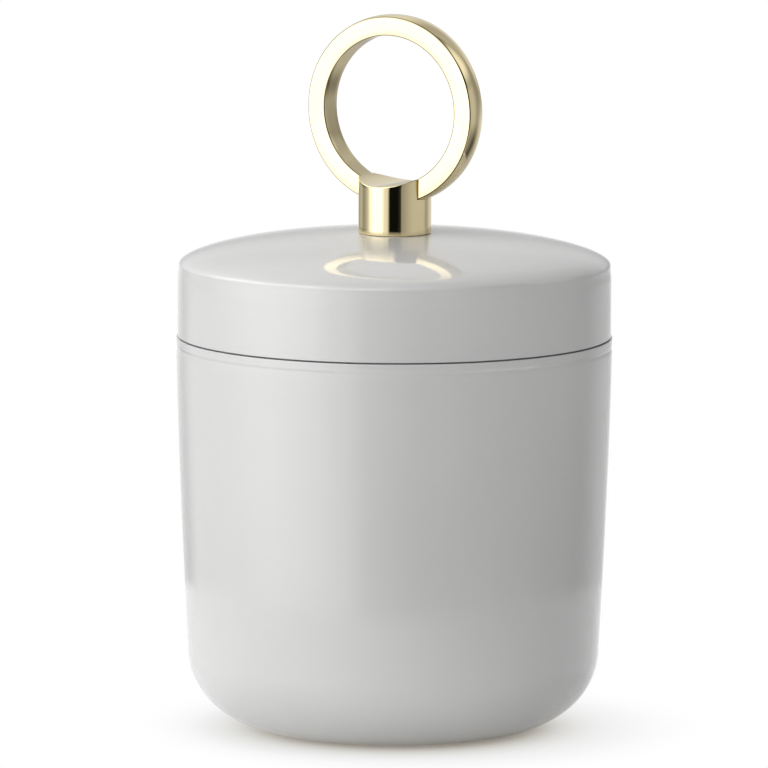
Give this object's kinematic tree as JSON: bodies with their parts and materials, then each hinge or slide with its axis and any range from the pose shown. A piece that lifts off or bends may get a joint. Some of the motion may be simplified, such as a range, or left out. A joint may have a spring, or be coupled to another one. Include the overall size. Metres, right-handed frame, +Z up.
{
  "type": "storage box",
  "caption": "Round lidded keepsake box with a rounded foot, a domed lift-off lid and an upright ring handle on a slotted post.",
  "frame": {"origin": "centre of the base, on the surface that the box stands on", "axes": "+Z up along the axis of the round box, the way the lid lifts; the handle's ring stands in the XZ plane, so its bore runs along Y"},
  "size_m": [0.088, 0.088, 0.145],
  "materials": {
    "lacquer": "high-gloss light grey lacquer",
    "brass": "polished pale brass",
    "steel": "zinc-plated",
    "felt": "pressed charcoal wool felt",
    "gasket": "matte"
  },
  "bodies": {
    "box": {"body_shell": "lacquer", "rim_collar": "lacquer", "base_pad": "felt", "floor_lining": "felt"},
    "lid": {"lid_shell": "lacquer", "post_gasket": "gasket", "handle_post": "brass", "handle_ring": "brass", "load_washer": "steel", "lock_washer": "steel", "handle_screw": "steel"}
  },
  "joints": [
    {"name": "lid_lift", "type": "slide", "parent": "box", "child": "lid", "axis": [0, 0, 1], "range_m": [0, 0.06]}
  ]
}
